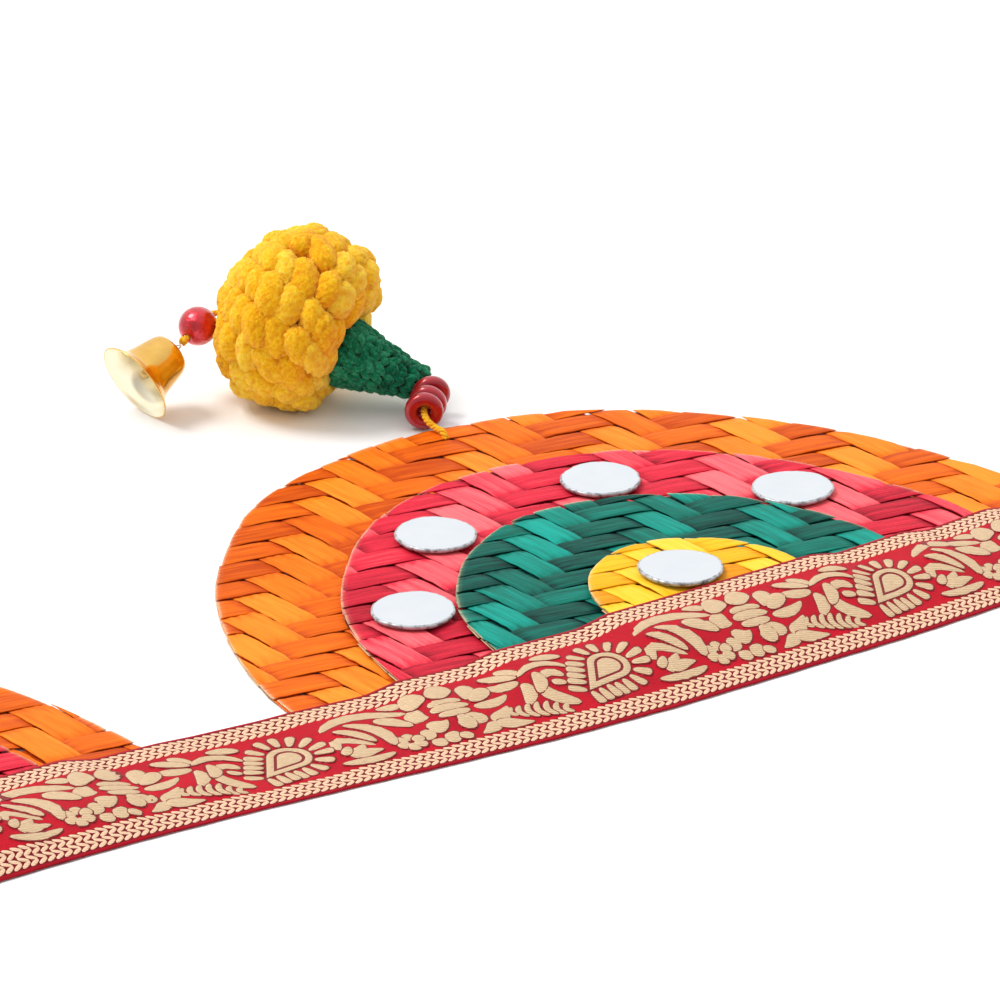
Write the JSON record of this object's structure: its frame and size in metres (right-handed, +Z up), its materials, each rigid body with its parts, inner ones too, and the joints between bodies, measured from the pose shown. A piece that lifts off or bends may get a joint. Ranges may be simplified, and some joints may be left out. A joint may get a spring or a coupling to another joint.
{
  "type": "toran door hanging",
  "caption": "Door hanging lying flat: half-moons of layered woven palm-leaf mat with round mirrors on a brocade ribbon, each with a crocheted flower, beads and a bell",
  "frame": {"origin": "on the ground, under the middle of the whole hanging's box", "axes": "+X along the ribbon, +Y from the ribbon towards the pendants, +Z up off the face"},
  "size_m": [0.914, 0.2492, 0.0504],
  "materials": {
    "mat_orange": "dyed palm-leaf strips, dry, faint lengthwise grain",
    "mat_red": "dyed palm-leaf strips, dry, faint lengthwise grain",
    "mat_green": "dyed palm-leaf strips, dry, faint lengthwise grain",
    "mat_yellow": "dyed palm-leaf strips, dry, faint lengthwise grain",
    "mirror": "clear mirror glass, hand-cut edge",
    "ribbon": "jacquard satin with dull gold metallic weft",
    "thread": "soft twisted yarn",
    "ring_bead": "lacquered, high gloss",
    "cone": "fuzzy acrylic yarn, crocheted",
    "flower": "fuzzy acrylic yarn, crocheted",
    "round_bead": "metallic lacquer, high gloss",
    "bell": "bright golden, thin sheet",
    "clapper": "bright golden"
  },
  "bodies": {
    "hanging": {"ribbon": "ribbon", "mat_orange_left": "mat_orange", "mat_red_left": "mat_red", "mat_green_left": "mat_green", "mat_yellow_left": "mat_yellow", "mirror_1_left": "mirror", "mirror_2_left": "mirror", "mirror_3_left": "mirror", "mirror_4_left": "mirror", "mirror_5_left": "mirror", "thread_left": "thread", "ring_bead_1_left": "ring_bead", "ring_bead_2_left": "ring_bead", "ring_bead_3_left": "ring_bead", "cone_left": "cone", "flower_left": "flower", "round_bead_left": "round_bead", "tail_left": "thread", "bell_left": "bell", "mat_orange_middle": "mat_orange", "mat_red_middle": "mat_red", "mat_green_middle": "mat_green", "mat_yellow_middle": "mat_yellow", "mirror_1_middle": "mirror", "mirror_2_middle": "mirror", "mirror_3_middle": "mirror", "mirror_4_middle": "mirror", "mirror_5_middle": "mirror", "thread_middle": "thread", "ring_bead_1_middle": "ring_bead", "ring_bead_2_middle": "ring_bead", "ring_bead_3_middle": "ring_bead", "cone_middle": "cone", "flower_middle": "flower", "round_bead_middle": "round_bead", "tail_middle": "thread", "bell_middle": "bell", "mat_orange_right": "mat_orange", "mat_red_right": "mat_red", "mat_green_right": "mat_green", "mat_yellow_right": "mat_yellow", "mirror_1_right": "mirror", "mirror_2_right": "mirror", "mirror_3_right": "mirror", "mirror_4_right": "mirror", "mirror_5_right": "mirror", "thread_right": "thread", "ring_bead_1_right": "ring_bead", "ring_bead_2_right": "ring_bead", "ring_bead_3_right": "ring_bead", "cone_right": "cone", "flower_right": "flower", "round_bead_right": "round_bead", "tail_right": "thread", "bell_right": "bell"},
    "left_clapper": {"clapper_left": "clapper"},
    "middle_clapper": {"clapper_middle": "clapper"},
    "right_clapper": {"clapper_right": "clapper"}
  },
  "joints": [
    {"name": "left_clapper_swing", "type": "hinge", "parent": "hanging", "child": "left_clapper", "pos_m": [-0.3219, 0.11391, 0.01581], "axis": [-0.1072, 0.9942, 0], "range_deg": [-40, 40]},
    {"name": "middle_clapper_swing", "type": "hinge", "parent": "hanging", "child": "middle_clapper", "pos_m": [-0.0419, 0.11091, 0.01581], "axis": [-0.1072, 0.9942, 0], "range_deg": [-40, 40]},
    {"name": "right_clapper_swing", "type": "hinge", "parent": "hanging", "child": "right_clapper", "pos_m": [0.3219, 0.11391, 0.01581], "axis": [0.1072, 0.9942, 0], "range_deg": [-40, 40]}
  ]
}
